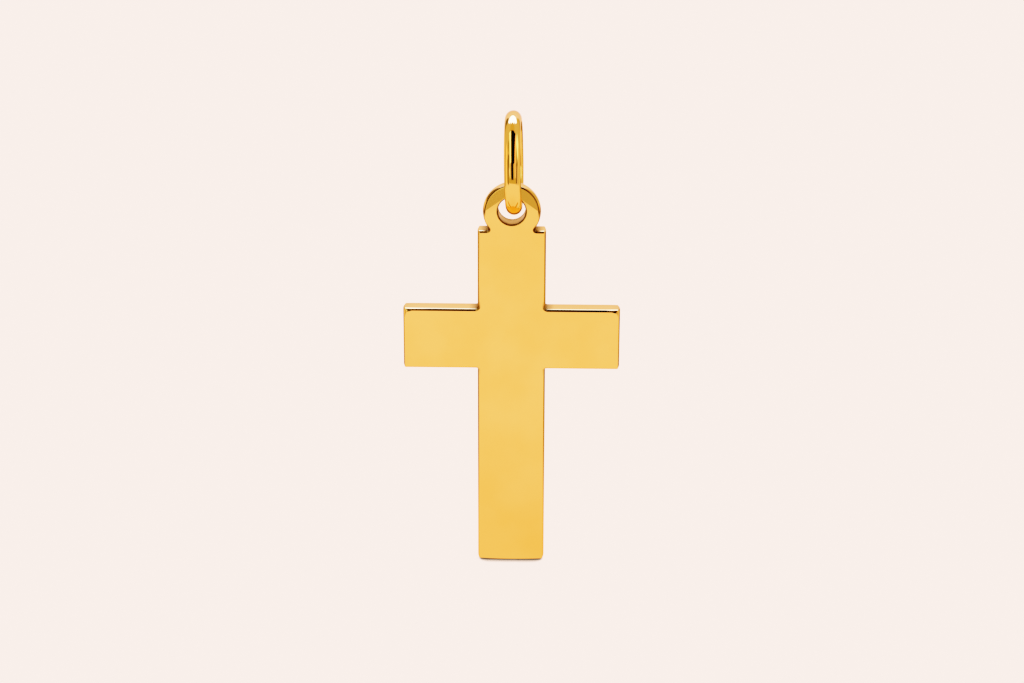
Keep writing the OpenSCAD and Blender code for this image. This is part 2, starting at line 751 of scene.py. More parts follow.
@dataclass
class CrossPlate:
    """The flat cross with the eyelet at its top.

    Lengths are in millimetres and angles in degrees. Edges are rounded over an edge_r, or over
    an edge_w as seen from the front and an edge_d of the thickness. Each line value says how dark
    the painted line along an upper edge or the foot is, from 0 to 1: painted dark reflection along
    the upper edges and painted contact shadow at the foot. line_from, line_full and line_to say
    where it lies by the surface's turn towards the front. The line along the crossbar's top starts
    short of both tips, over the spans of distances from the tip, and the eyelet's over a span of
    heights from its middle.
    """

    # Overall sizes
    upright_w: float = 3.75
    crossbar_h: float = 3.45
    upper_arm_h: float = 4.55
    metal_t: float = 1.13
    # Crowned sides and rounded edges
    side_crown: float = 0.10
    top_crown: float = 0.015
    eyelet_crown: float = 0.05
    edge_r: float = 0.10
    top_edge_w: float = 0.12
    top_edge_d: float = 0.20
    eyelet_edge_r: float = 0.085
    foot_edge_d: float = 0.14
    side_worn: float = 0.35
    # Painted dark lines along the upper edges and the foot, standing in for dark reflections and
    # contact shadow
    right_line: float = 1.0
    left_line: float = 0.8
    left_end_line: float = 0.35
    shoulder_line: float = 0.5
    eyelet_line: float = 0.95
    foot_line: float = 1.0
    line_from: float = 14.0
    line_full: float = 20.0
    line_to: float = 100.0
    foot_line_to: float = 45.0
    line_soft: float = 6.0
    right_line_start: Span = (0.45, 0.85)
    left_line_start: Span = (0.5, 1.0)
    left_line_full: Span = (1.0, 1.5)
    eyelet_line_start: Span = (-0.3, 0.1)
    # Corners
    outer_corner_r: float = 0.13
    soft_corner_r: float = 0.50
    top_rise: float = 0.03
    inner_corner_r: float = 0.13
    notch_r: float = 0.07
    foot_bow: float = 0.06
    # Eyelet, its hole and its slopes
    eyelet_r: float = 1.585
    eyelet_rise: float = 1.0
    hole_r: float = 0.757
    hole_lift: float = 0.12
    hole_edge_r: float = 0.085
    # Painted shade in the hole: a dark ring at each mouth and a darker wall between them
    mouth_shade: float = 1.0
    mouth_share: float = 0.25
    wall_end_shade: float = 0.9
    wall_shade: float = 0.55
    wall_shares: tuple[float, ...] = (0.0, 0.35, 0.7)
    slope_start: float = 0.10
    slope_tilt: float = 17.0
    slope_turn: float = 36.0
    crease_margin: float = 0.3
    # Fineness of the mesh
    corner_steps: int = 14
    eyelet_steps: int = 150
    hole_steps: int = 128
    crown_steps: int = 6
    edge_steps: int = 14
    meet_rounds: int = 12
    run_step: float = 0.35
    name: str = "cross_plate"

    def __post_init__(self) -> None:
        """Takes the cross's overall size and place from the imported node."""
        low, high = (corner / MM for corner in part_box("cross"))
        self.half_w = high.x
        self.half_u = self.upright_w / 2
        self.half_t = self.metal_t / 2
        self.foot_z = low.z
        self.eyelet_z = high.z - self.eyelet_r
        self.hole_z = self.eyelet_z + self.hole_lift
        self.shoulder_z = self.eyelet_z - self.eyelet_rise
        self.bar_top = self.shoulder_z - self.upper_arm_h
        self.bar_low = self.bar_top - self.crossbar_h
        self.bar_top += self.top_rise
        self.slope_fall = math.tan(math.radians(self.slope_tilt))
        turn = math.radians(self.slope_turn)
        self.slope_dir = (math.sin(turn), math.cos(turn))
        notch_dz = self.notch_r - self.eyelet_rise
        self.notch_x = math.sqrt((self.eyelet_r + self.notch_r) ** 2 - notch_dz ** 2)
        self.notch_end = math.degrees(math.atan2(notch_dz, self.notch_x))
        # Painted shade in the notches beside the eyelet and at the crossbar's corners, standing in
        # for shade and dark reflections there
        self.spots = (
            Spot(self.notch_x - self.notch_r, self.shoulder_z + self.notch_r,
                 reach=0.46, edge_painted_shade=1.0, side_painted_shade=1.0),
            Spot(self.half_u, self.bar_top, reach=0.34, edge_painted_shade=1.0, side_painted_shade=0.9),
            Spot(self.half_u, self.bar_low, reach=0.30, edge_painted_shade=0.3, side_painted_shade=0.2),
            Spot(self.half_w, self.bar_top, reach=0.20, edge_painted_shade=0.10, side_painted_shade=0.25),
        )

    # Outline

    def right_outline(self) -> list[Station]:
        """Makes the right half of the outline, from the foot up to the eyelet's top.

        Returns:
            The stations in order, without those on the middle line.
        """
        r_out, r_in, steps = self.outer_corner_r, self.inner_corner_r, self.corner_steps
        u, w = self.half_u, self.half_w
        bends = [
            arc((u - r_out, self.foot_z + r_out), r_out, -90, 0, steps, Bend.CONVEX),
            arc((u + r_in, self.bar_low - r_in), r_in, 0, -90, steps, Bend.CONCAVE),
            arc((w - r_out, self.bar_low + r_out), r_out, -90, 0, steps, Bend.CONVEX),
            arc((w - r_out, self.bar_top - r_out), r_out, 0, 90, steps, Bend.CONVEX),
            arc((u + r_in, self.bar_top + r_in), r_in, 90, 0, steps, Bend.CONCAVE),
            arc((u - r_out, self.shoulder_z - r_out), r_out, 0, 90, steps, Bend.CONVEX),
            arc((self.notch_x, self.shoulder_z + self.notch_r), self.notch_r, 90, self.notch_end,
                steps, Bend.CONCAVE),
        ]
        made = run_between(Station(0, self.foot_z, 0, -1), bends[0][0], self.run_step)
        for before, after in zip(bends, bends[1:]):
            made += before + run_between(before[-1], after[0], self.run_step)
        made += bends[-1]
        top = arc((0, self.eyelet_z), self.eyelet_r, self.notch_end, 90, self.eyelet_steps // 2,
                  Bend.CONVEX)
        return made + top[1:-1]

    def outline(self) -> list[Station]:
        """Makes the whole front outline, going round against the clock as seen from the front.

        Returns:
            The stations in order.
        """
        right = self.right_outline()
        left = [Station(-s.x, s.z, -s.out_x, s.out_z) for s in reversed(right)]
        foot = Station(0, self.foot_z, 0, -1)
        top = Station(0, self.eyelet_z + self.eyelet_r, 0, 1)
        return [foot, *right, top, *left]

    def trim_at(self, station: Station) -> Trim:
        """Tells how the rim is finished at a station.

        Args:
            station: where on the outline.

        Returns:
            The rim's trim there.
        """
        z = station.z
        upright = station.out_z ** 2
        upward = upright if station.out_z > 0 else 0.0
        edge_w = self.edge_r + (self.top_edge_w - self.edge_r) * upward
        edge_d = self.edge_r + (self.top_edge_d - self.edge_r) * upward
        crown = self.side_crown + (self.top_crown - self.side_crown) * upright
        line, line_to = self.shoulder_line * upward, self.line_to
        if z > self.shoulder_z + self.notch_r / 2:
            edge_w = edge_d = self.eyelet_edge_r
            crown = self.side_crown + (self.eyelet_crown - self.side_crown) * upright
            line = self.eyelet_line * ramp(z - self.eyelet_z, *self.eyelet_line_start)
        elif abs(z - self.bar_top) < self.outer_corner_r and abs(station.x) > self.half_u:
            line = self.bar_line(station.x) * upward
        elif z < self.foot_z + self.outer_corner_r:
            edge_d += (self.foot_edge_d - edge_d) * upright
            line, line_to = self.foot_line * upright, self.foot_line_to
        shares = [(spot.share(station), spot) for spot in self.spots]
        edge_painted_shade = max(share * spot.edge_painted_shade for share, spot in shares)
        side_painted_shade = max(share * spot.side_painted_shade for share, spot in shares)
        return Trim(edge_w, edge_d, crown, line, line_to, edge_painted_shade, side_painted_shade)

    def bar_line(self, x: float) -> float:
        """Tells how dark the painted line along the crossbar's top is, which fades towards its left
        tip.

        Args:
            x: the distance from the middle line.

        Returns:
            The line's share, from 0 to 1.
        """
        from_tip = self.half_w - abs(x)
        if x > 0:
            return self.right_line * ramp(from_tip, *self.right_line_start)
        gain = (self.left_line - self.left_end_line) * ramp(from_tip, *self.left_line_full)
        return (self.left_end_line + gain) * ramp(from_tip, *self.left_line_start)

    def section(self, trim: Trim) -> list[RimPoint]:
        """Makes the crowned side and rounded edge from mid thickness to the front face.

        Args:
            trim: how the rim is finished there.

        Returns:
            The section's points.
        """
        wide, deep = trim.edge_w, trim.edge_d
        crown_r = (self.half_t ** 2 + trim.crown ** 2) / (2 * trim.crown)
        # Crown and edge meet where both have one direction, which a few rounds settle
        meet = start = 0.0
        for _ in range(self.meet_rounds):
            meet = math.asin((self.half_t - deep * (1 - math.sin(start))) / crown_r)
            start = math.atan(deep / wide * math.tan(meet))
        centre_in = crown_r * (1 - math.cos(meet)) + wide * math.cos(start)
        points = []
        for i in range(self.crown_steps):
            along = i / self.crown_steps
            angle = meet * along
            gain = (trim.edge_painted_shade - trim.side_painted_shade) * along ** LATE_SIDE
            points.append(RimPoint(
                crown_r * (1 - math.cos(angle)), crown_r * math.sin(angle), math.cos(angle),
                math.sin(angle), WearAndShade(self.side_worn * along ** 2, trim.side_painted_shade + gain)))
        for i in range(self.edge_steps + 1):
            along = i / self.edge_steps
            angle = start + (math.pi / 2 - start) * along
            facing = math.atan2(math.sin(angle) / deep, math.cos(angle) / wide)
            tilt = math.degrees(facing)
            ends = 1 - along ** LATE_END
            line = ramp(tilt, self.line_from, self.line_full) * ramp(
                tilt, trim.line_to + self.line_soft, trim.line_to - self.line_soft)
            wear = WearAndShade(max(0.0, math.sin(math.pi * along)) ** 0.5, trim.edge_painted_shade * ends,
                        trim.line * ends * line)
            points.append(RimPoint(
                centre_in - wide * math.cos(angle), self.half_t - deep * (1 - math.sin(angle)),
                math.cos(facing), math.sin(facing), wear))
        return points

    def rim_end(self, station: Station, depth: float) -> tuple[float, float]:
        """Gives where the flat side starts, in a rounder curve at the crossbar's upper corners.

        Args:
            station: where on the outline.
            depth: how wide the rim is there.

        Returns:
            The point's x and z.
        """
        soft, sharp = self.soft_corner_r, self.outer_corner_r
        along = abs(station.x) - (self.half_w - soft)
        down = self.bar_top - station.z
        if along <= 0 or not -TOUCH < down < soft:
            return station.inset(depth)
        straight = soft - sharp
        turn = math.atan2(abs(station.out_x), station.out_z)
        walked = min(along, straight) + sharp * turn + max(0.0, down - sharp)
        angle = math.pi / 2 * (1 - walked / (2 * straight + sharp * math.pi / 2))
        reach = soft - depth
        return (math.copysign(self.half_w - soft + reach * math.cos(angle), station.x),
                self.bar_top - soft + reach * math.sin(angle))

    # Mesh

    def sides(self, mesh: bmesh.types.BMesh) -> dict[Side, list[bmesh.types.BMVert]]:
        """Makes the crowned sides and the rounded edges all round the outline.

        Args:
            mesh: the mesh that gets them.

        Returns:
            The vertices round each flat side, in outline order.
        """
        places, wears, facings = [], [], []
        for station in self.outline():
            half = self.section(self.trim_at(station))
            row = whole_section(half)
            depth = half[-1].inset
            end_x, end_z = self.rim_end(station, depth)
            shares = [point.inset / depth for point in row]
            places.append([
                Vector((station.x + (end_x - station.x) * share, -point.height,
                        station.z + (end_z - station.z) * share))
                for share, point in zip(shares, row)
            ])
            facings.append([
                Vector((station.out_x * point.out, -point.front, station.out_z * point.out))
                for point in row
            ])
            wears.append([point.wear for point in row])
        rows = []
        for i, row in enumerate(places):
            before, after = places[i - 1], places[(i + 1) % len(places)]
            directions = [facings[i][0]]
            for j in range(1, len(row) - 1):
                direction = (after[j] - before[j]).cross(row[j + 1] - row[j - 1]).normalized()
                directions.append(direction if direction.dot(facings[i][j]) > 0 else -direction)
            directions.append(facings[i][-1])
            rows.append([self.vertex(mesh, *one) for one in zip(row, directions, wears[i])])
        fill_round(mesh, rows)
        return {Side.BACK: [row[0] for row in rows], Side.FRONT: [row[-1] for row in rows]}

    def hole(self, mesh: bmesh.types.BMesh) -> dict[Side, list[bmesh.types.BMVert]]:
        """Makes the hole's wall and its two rounded mouths, with painted shade on the wall and a
        darker painted ring at each mouth.

        Args:
            mesh: the mesh that gets them.

        Returns:
            The vertices round the hole on each flat side.
        """
        r, edge = self.hole_r, self.hole_edge_r
        # Painted shade: the wall is darker towards both mouths, and each mouth carries a dark
        # painted ring
        wall, wall_end, mouth = self.wall_shade, self.wall_end_shade, self.mouth_shade
        half = [
            RimPoint(r, (self.half_t - edge) * share, 1.0, 0.0,
                     WearAndShade(painted_shade=wall + (wall_end - wall) * share ** 2))
            for share in self.wall_shares
        ]
        for i in range(self.edge_steps + 1):
            along = i / self.edge_steps
            angle = math.pi / 2 * along
            painted_shade = wall_end + (mouth - wall_end) * min(1.0, along / self.mouth_share)
            half.append(RimPoint(
                r + edge * (1 - math.cos(angle)), self.half_t - edge * (1 - math.sin(angle)),
                math.cos(angle), math.sin(angle), WearAndShade(painted_shade=painted_shade * (1 - along ** LATE_END))))
        rows = []
        for i in range(self.hole_steps):
            angle = 2 * math.pi * i / self.hole_steps
            cx, cz = math.cos(angle), math.sin(angle)
            rows.append([
                self.vertex(mesh, (p.inset * cx, -p.height, self.hole_z + p.inset * cz),
                            (-p.out * cx, -p.front, -p.out * cz), p.wear)
                for p in whole_section(half)
            ])
        fill_round(mesh, rows, inward=True)
        return {Side.BACK: [row[0] for row in rows], Side.FRONT: [row[-1] for row in rows]}

    def vertex(self, mesh: bmesh.types.BMesh, place: Sequence[float], direction: Sequence[float],
               wear: WearAndShade) -> bmesh.types.BMVert:
        """Adds a vertex that remembers the surface's direction, its wear and its painted shade.

        Args:
            mesh: the mesh that gets it.
            place: where it is.
            direction: the surface's direction there.
            wear: the surface's wear and painted shade there.

        Returns:
            The vertex.
        """
        vert = mesh.verts.new(place)
        vert[self.direction_layer] = Vector(direction)
        for layer, share in zip(self.wear_layers, (wear.worn, wear.painted_shade, wear.line)):
            vert[layer] = share
        return vert

    def flat_side(self, mesh: bmesh.types.BMesh, side: Side, rim: list[bmesh.types.BMVert],
                  mouth: list[bmesh.types.BMVert]) -> None:
        """Fills a flat side between the outline's edge and the hole.

        Args:
            mesh: the mesh that gets it.
            side: which side.
            rim: the vertices round the side.
            mouth: the vertices round the hole.
        """
        verts = rim + mouth
        points = [Vector((v.co.x, v.co.z)) for v in verts]
        n, m = len(rim), len(mouth)
        edges = [(i, (i + 1) % n) for i in range(n)] + [(n + i, n + (i + 1) % m) for i in range(m)]
        _, _, triangles, origins, _, _ = delaunay_2d_cdt(points, edges, [], 0, TOUCH)
        loop = [(p.x, p.y) for p in points[:n]]
        for triangle in triangles:
            ids = [origins[i][0] for i in triangle]
            centre = sum((points[i] for i in ids), Vector((0, 0))) / 3
            # A triangle between vertices of the mouth alone lies in the hole
            in_hole = min(ids) >= n
            if in_hole or not inside(loop, centre.x, centre.y):
                continue
            corners = [verts[i] for i in ids]
            a, b, c = (points[i] for i in ids)
            turns_left = (b - a).cross(c - a) > 0
            if turns_left != (side is Side.FRONT):
                corners.reverse()
            mesh.faces.new(corners)

    def region_at(self, x: float, z: float) -> Region:
        """Tells which region a point of a flat side lies in.

        Args:
            x: its distance from the middle line.
            z: its height.

        Returns:
            The region.
        """
        if self.slope_reach(abs(x), z) <= 0:
            return Region.FLAT
        return Region.RIGHT_SLOPE if x > 0 else Region.LEFT_SLOPE

    def slope_reach(self, x: float, z: float) -> float:
        """Gives how far a point lies past the right-hand slope's crease."""
        dx, dz = self.slope_dir
        return x * dx + (z - self.hole_z) * dz - (self.hole_r + self.slope_start)

    def cut_creases(self, mesh: bmesh.types.BMesh) -> None:
        """Cuts the mesh along the creases, where the slopes start and where the two meet.

        Args:
            mesh: the mesh to cut.
        """
        dx, dz = self.slope_dir
        start = self.hole_r + self.slope_start
        cuts = [(Vector((0, 0, self.hole_z)), Vector((1, 0, 0)), 0)]
        for across in (1, -1):
            direction = Vector((across * dx, 0, dz))
            cuts.append((Vector((0, 0, self.hole_z)) + direction * start, direction, across))
        for place, direction, across in cuts:
            geometry = {}
            for face in mesh.faces:
                centre = face.calc_center_median()
                if centre.z > self.shoulder_z - self.crease_margin and centre.x * across >= 0:
                    geometry.update(dict.fromkeys([face, *face.edges, *face.verts]))
            bmesh.ops.bisect_plane(mesh, geom=list(geometry), dist=SNAP, plane_co=place,
                                   plane_no=direction)

    def shaped(self, place: Vector, region: Region) -> Vector:
        """Gives where a point of the even plate goes on the finished one.

        Args:
            place: the point on the plate of even thickness with a straight foot.
            region: the region that it belongs to.

        Returns:
            The point after the eyelet's thinning and the foot's bow.
        """
        x, y, z = place
        if region is not Region.FLAT:
            y *= 1 - self.slope_fall * self.slope_reach(x * region.value, z) / self.half_t
        low = max(0.0, (self.bar_low - z) / (self.bar_low - self.foot_z))
        z += self.foot_bow * (x / self.half_u) ** 2 * low ** LATE_BOW
        return Vector((x, y, z))

    def turned(self, place: Vector, direction: Vector, region: Region) -> Vector:
        """Gives the surface's direction on the finished plate.

        Args:
            place: the point on the even plate.
            direction: the surface's direction there.
            region: the region that it belongs to.

        Returns:
            The direction on the finished plate.
        """
        step = 1e-4
        columns = [
            (self.shaped(place + Vector(axis) * step, region)
             - self.shaped(place - Vector(axis) * step, region)) / (2 * step)
            for axis in ((1, 0, 0), (0, 1, 0), (0, 0, 1))
        ]
        jacobian = Matrix(columns).transposed()
        return (jacobian.inverted().transposed() @ direction).normalized()

    def build(self) -> bpy.types.Object:
        """Makes the cross.

        Returns:
            The object, in metres.
        """
        mesh = bmesh.new()
        self.direction_layer = mesh.verts.layers.float_vector.new("even_direction")
        # Shares of wear, of painted shade and of the painted dark line
        for name in ("edge_share", "painted_shade_share", "painted_line_share"):
            mesh.verts.layers.float.new(name)
        self.wear_layers = list(mesh.verts.layers.float.values())
        slope_layer = mesh.loops.layers.float.new("slope_share")
        rims, mouths = self.sides(mesh), self.hole(mesh)
        for side in Side:
            self.flat_side(mesh, side, rims[side], mouths[side])
        self.cut_creases(mesh)

        directions = []
        vertex_region = {}
        for face in mesh.faces:
            centre = face.calc_center_median()
            region = self.region_at(centre.x, centre.z)
            flat = abs(centre.y) > self.half_t - TOUCH
            for corner in face.loops:
                vert = corner.vert
                directions.append(self.turned(vert.co, vert[self.direction_layer], region))
                corner[slope_layer] = float(flat and region is not Region.FLAT)
                if vertex_region.get(vert, Region.FLAT) is Region.FLAT:
                    vertex_region[vert] = region
            face.smooth = True
        for vert in mesh.verts:
            vert.co = self.shaped(vert.co, vertex_region[vert]) * MM
        made = place_mesh(mesh, self.name)
        made.data.normals_split_custom_set(directions)
        return made

    def dress(self, made: bpy.types.Object, material: bpy.types.Material) -> None:
        """Gives the cross its finish and its place on the frame.

        Args:
            made: the cross's object.
            material: its finish.
        """
        made.data.materials.append(material)
        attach(made, "cross")
        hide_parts("cross")


@dataclass
class BailRing:
    """The wire ring that the cross hangs on.

    Lengths are in millimetres and angles in degrees. The ring is a little fuller below the
    middle of its front and back, and hangs with a slight turn and lean, as in the photograph.
    Its radius grows most at the height angle fullest_at, and not at all from full_above over it
    and full_below under it on.
    """

    wire_d: float = 0.89
    fullness: float = 0.10
    fullest_at: float = -22.0
    full_above: float = 27.0
    full_below: float = 63.0
    turn: float = -0.8
    lean: float = -1.2
    aside: float = 0.093
    ring_steps: int = 400
    wire_steps: int = 112
    name: str = "bail_ring"

    def __post_init__(self) -> None:
        """Takes the ring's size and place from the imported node."""
        low, high = (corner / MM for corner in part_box("bail"))
        self.centre_z = (low.z + high.z) / 2
        self.middle_r = (high.z - low.z) / 2 - self.wire_d / 2

    def middle_at(self, angle: float) -> Vector:
        """Gives a point of the wire's middle line.

        Args:
            angle: the angle round the ring, 0 in front and a right angle at its top, in radians.

        Returns:
            The point, from the ring's centre.
        """
        rise = math.degrees(math.asin(math.sin(angle)))
        away = rise - self.fullest_at
        full = self.fullness * bump_of(away, self.full_above if away > 0 else self.full_below)
        return Vector((0, -math.cos(angle), math.sin(angle))) * (self.middle_r + full)

    def build(self) -> bpy.types.Object:
        """Makes the ring.

        Returns:
            The object, in metres.
        """
        angles = [2 * math.pi * i / self.ring_steps for i in range(self.ring_steps)]
        narrowing = self.middle_r / max(self.middle_at(angle).y for angle in angles)
        squeeze = Matrix.Diagonal((1, narrowing, 1))
        hang = (Matrix.Translation((self.aside, 0, self.centre_z))
                @ Matrix.Rotation(math.radians(self.turn), 4, "Z")
                @ Matrix.Rotation(math.radians(self.lean), 4, "Y"))
        across = Vector((1, 0, 0))
        step = math.pi / self.ring_steps
        mesh = bmesh.new()
        rows = []
        for angle in angles:
            along = squeeze @ (self.middle_at(angle + step) - self.middle_at(angle - step))
            out = along.cross(across).normalized()
            middle = squeeze @ self.middle_at(angle)
            row = []
            for j in range(self.wire_steps):
                round_wire = 2 * math.pi * j / self.wire_steps
                reach = out * math.cos(round_wire) + across * math.sin(round_wire)
                row.append(mesh.verts.new((hang @ (middle + reach * self.wire_d / 2)) * MM))
            rows.append(row)
        for a, b in zip(rows, rows[1:] + rows[:1]):
            for j in range(self.wire_steps):
                k = (j + 1) % self.wire_steps
                mesh.faces.new((a[j], a[k], b[k], b[j])).smooth = True
        bmesh.ops.recalc_face_normals(mesh, faces=mesh.faces)
        return place_mesh(mesh, self.name)

    def dress(self, made: bpy.types.Object, material: bpy.types.Material) -> None:
        """Gives the ring its finish and its place on the frame.

        Args:
            made: the ring's object.
            material: its finish.
        """
        made.data.materials.append(material)
        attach(made, "bail")
        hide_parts("bail")


# Studio


@dataclass(frozen=True)
class Panel:
    """A soft patch of light or shade round the pendant. Angles are in degrees."""

    azimuth: float
    elevation: float
    half_w: float
    half_h: float
    light: Colour
    soft: float = 5.0


@dataclass
class LensTunnel:
    """The arch of light round the lens, with the dark slot that the lens looks through.

    Only the metal's reflections see it. Lengths are in millimetres. Above full_slot_from the slot
    runs from slot_left to slot_right. Below low_top it ends at low_slot_right, and the arch has
    its low light from low_left up to slot_right.
    """

    radius: float = 120.0
    left: float = -72.0
    right: float = 135.0
    slot_left: float = -29.0
    slot_right: float = 82.0
    low_slot_right: float = 35.0
    low_left: float = -60.0
    low_top: float = 20.0
    full_slot_from: float = 32.0
    middle_z: float = -12.0
    soft: float = 3.0
    middle_soft: float = 1.0
    slot_light: Colour = (0.012, 0.010, 0.009)
    low_light: Colour = (1.14, 0.70, 0.27)
    left_light: Colour = (3.6, 2.9, 1.5)
    right_light: Colour = (3.247, 1.426, 0.633)
    arch_steps: int = 40
    name: str = "lens_tunnel"

    def build(self, floor_z: float) -> bpy.types.Object:
        """Makes the arch, from the floor in front of the pendant to straight above it.

        Args:
            floor_z: the floor's z in metres.

        Returns:
            The arch.
        """
        mesh = bmesh.new()
        low = math.asin((floor_z / MM - self.middle_z) / self.radius)
        rows = []
        for i in range(self.arch_steps + 1):
            angle = low + (math.pi / 2 - low) * i / self.arch_steps
            y = -self.radius * math.cos(angle)
            z = self.middle_z + self.radius * math.sin(angle)
            rows.append([mesh.verts.new(Vector((x, y, z)) * MM) for x in (self.left, self.right)])
        for a, b in zip(rows, rows[1:]):
            mesh.faces.new((a[0], a[1], b[1], b[0]))
        made = place_mesh(mesh, self.name)
        for ray in ("camera", "diffuse", "transmission", "volume_scatter", "shadow"):
            setattr(made, f"visible_{ray}", False)
        made.data.materials.append(self.material())
        return made

    def material(self) -> bpy.types.Material:
        """Makes the arch's glow, by the place on it.

        Returns:
            The material.
        """
        made = bpy.data.materials.new(self.name)
        graph = fresh_graph(made)
        x, _, z = graph.parts(object_millimetres(graph))
        risen = graph.smooth(z, self.low_top, self.full_slot_from)
        low_left = graph.mix(risen, self.low_left, self.slot_left)
        slot_right = graph.mix(risen, self.low_slot_right, self.slot_right)
        to_right = graph.smooth(x, -self.middle_soft, self.middle_soft)
        light = graph.mix_colour(to_right, self.left_light, self.right_light)
        for left, right, inner in ((low_left, self.slot_right, self.low_light),
                                   (self.slot_left, slot_right, self.slot_light)):
            from_left = graph.smooth(x, graph.math("SUBTRACT", left, self.soft),
                                     graph.math("ADD", left, self.soft))
            from_right = graph.smooth(x, graph.math("ADD", right, self.soft),
                                      graph.math("SUBTRACT", right, self.soft))
            light = graph.mix_colour(graph.math("MULTIPLY", from_left, from_right), light, inner)
        graph.show(graph.glow(light))
        return made


@dataclass
class Studio:
    """The pale floor and the soft light round the pendant.

    Lengths are in millimetres and angles in degrees. A later panel lies over an earlier one.
    """

    floor_glow: Colour = (2.857, 2.048, 1.792)
    metal_glow: Colour = (2.577, 1.46, 0.81)
    walls: Colour = (1.443, 0.891, 0.384)
    panels: tuple[Panel, ...] = (
        # Straight above
        Panel(0, 90, 360, 24, (1.308, 0.713, 0.19), 8),
        # On the left
        Panel(-53, 2, 8, 22, (0.26, 0.15, 0.035), 6),
        Panel(-66, 36, 10, 12, (0.722, 0.463, 0.136), 8),
        Panel(-68, -4, 7, 14, (0.902, 0.57, 0.203), 5),
        Panel(-109, -8, 12, 14, (1.082, 0.677, 0.271), 6),
        Panel(-87, 2, 10, 21, (3.428, 1.569, 0.588), 6),
        # On the right
        Panel(58, -4, 9, 13, (0.22, 0.13, 0.03), 5),
        Panel(61, 19, 8, 11, (0.75, 0.5, 0.16), 6),
        Panel(83, -7, 8, 11, (0.676, 0.428, 0.136), 5),
        Panel(92, 23, 14, 15, (2.8, 2.7, 1.5), 8),
        Panel(104, -2, 10, 16, (2.255, 1.212, 0.497), 6),
        Panel(126, -4, 10, 20, (1.353, 0.856, 0.339), 6),
        Panel(148, -13, 9, 10, (1.984, 0.998, 0.362), 6),
        Panel(152, 4, 7, 9, (0.45, 0.28, 0.1), 5),
        # Behind, and above it
        Panel(-145, 16, 10, 15, (0.361, 0.228, 0.081), 5),
        Panel(180, 12, 30, 22, (2.25, 1.60, 1.80), 6),
        Panel(180, 46, 44, 8, (5.2, 6.6, 11.5), 6),
        Panel(180, 52, 32, 13, (5.2, 6.6, 11.5), 6),
        # The floor behind, in front and straight below
        Panel(156, -45, 16, 32, (0.722, 0.392, 0.136), 6),
        Panel(-156, -45, 16, 32, (0.722, 0.392, 0.136), 6),
        Panel(0, -12.5, 50, 4.5, (1.218, 0.699, 0.203), 2),
        Panel(0, -90, 360, 28, (2.45, 1.28, 0.6), 46),
    )
    horizon_soft: float = 2.0
    panel_eye_z: float = -3.0
    floor_r: float = 900.0
    floor_sides: int = 96
    contact_samples: int = 16
    contact_reach: float = 0.8
    contact_dark: float = 0.20
    contact_clear: float = 0.62
    contact_least: float = 0.06
    contact_tone: Colour = (1.0, 1.0, 1.15)

    def soft_panel(self) -> Effect:
        """Makes the node group of one panel.

        Returns:
            The group, whose Light is the light before it with the panel's laid over.
        """
        effect = Effect(
            "Soft Panel",
            {"Light": (0.0, 0.0, 0.0, 1.0), "Azimuth": 0.0, "Elevation": 0.0,
             "Panel Azimuth": 0.0, "Panel Elevation": 0.0, "Half Width": 20.0, "Half Height": 20.0,
             "Softness": 5.0, "Panel Light": (1.0, 1.0, 1.0, 1.0)},
            {"Light": "NodeSocketColor"},
        )
        graph, given = effect.graph, effect.given
        aside = graph.math("SUBTRACT", given["Azimuth"], given["Panel Azimuth"])
        across = graph.math("ABSOLUTE", graph.math("WRAP", aside, 180.0, -180.0))
        above = graph.math("SUBTRACT", given["Elevation"], given["Panel Elevation"])
        up = graph.math("ABSOLUTE", above)
        half_soft = graph.math("MULTIPLY", given["Softness"], 0.5)
        shares = []
        for value, half in ((across, given["Half Width"]), (up, given["Half Height"])):
            shares.append(graph.smooth(
                value, graph.math("ADD", half, half_soft), graph.math("SUBTRACT", half, half_soft)))
        graph.feed(effect.result["Light"], graph.mix_colour(
            graph.math("MULTIPLY", *shares), given["Light"], given["Panel Light"]))
        return effect

    def surroundings(self) -> Effect:
        """Makes the node group of the light that comes to the pendant from a direction.

        Returns:
            The group, whose Light is the walls' or the floor's with all panels laid over.
        """
        effect = Effect(
            "Surroundings", {"Direction": (0.0, 0.0, 1.0)}, {"Light": "NodeSocketColor"})
        graph = effect.graph
        x, y, z = graph.parts(graph.vector_math("NORMALIZE", effect.given["Direction"]))
        azimuth = graph.math("DEGREES", graph.math("ARCTAN2", x, graph.math("MULTIPLY", y, -1.0)))
        elevation = graph.math("DEGREES", graph.math("ARCSINE", z))
        risen = graph.smooth(elevation, -self.horizon_soft, self.horizon_soft)
        light = graph.mix_colour(risen, self.metal_glow, self.walls)
        soft_panel = self.soft_panel()
        for panel in self.panels:
            light = soft_panel.place(
                graph, Light=light, Azimuth=azimuth, Elevation=elevation,
                Panel_Azimuth=float(panel.azimuth), Panel_Elevation=float(panel.elevation),
                Half_Width=float(panel.half_w), Half_Height=float(panel.half_h),
                Softness=float(panel.soft), Panel_Light=(*panel.light, 1.0)).outputs["Light"]
        graph.feed(effect.result["Light"], light)
        return effect

    def build_light(self, surroundings: Effect) -> None:
        """Makes the light round the pendant, which the camera sees as the floor's own pale tone.

        Args:
            surroundings: the light by direction.
        """
        world = bpy.data.worlds.new("studio_light")
        bpy.context.scene.world = world
        graph = fresh_graph(world)
        direction = graph.add("ShaderNodeTexCoord").outputs["Generated"]
        light = surroundings.place(graph, Direction=direction).outputs["Light"]
        seen = graph.add("ShaderNodeBackground")
        seen.inputs["Color"].default_value = (*self.floor_glow, 1.0)
        lit = graph.add("ShaderNodeBackground")
        graph.feed(lit.inputs["Color"], light)
        both = graph.add("ShaderNodeMixShader")
        graph.feed(both.inputs[0], graph.add("ShaderNodeLightPath").outputs["Is Camera Ray"])
        graph.feed(both.inputs[1], lit.outputs[0])
        graph.feed(both.inputs[2], seen.outputs[0])
        graph.show(both.outputs[0], "ShaderNodeOutputWorld")

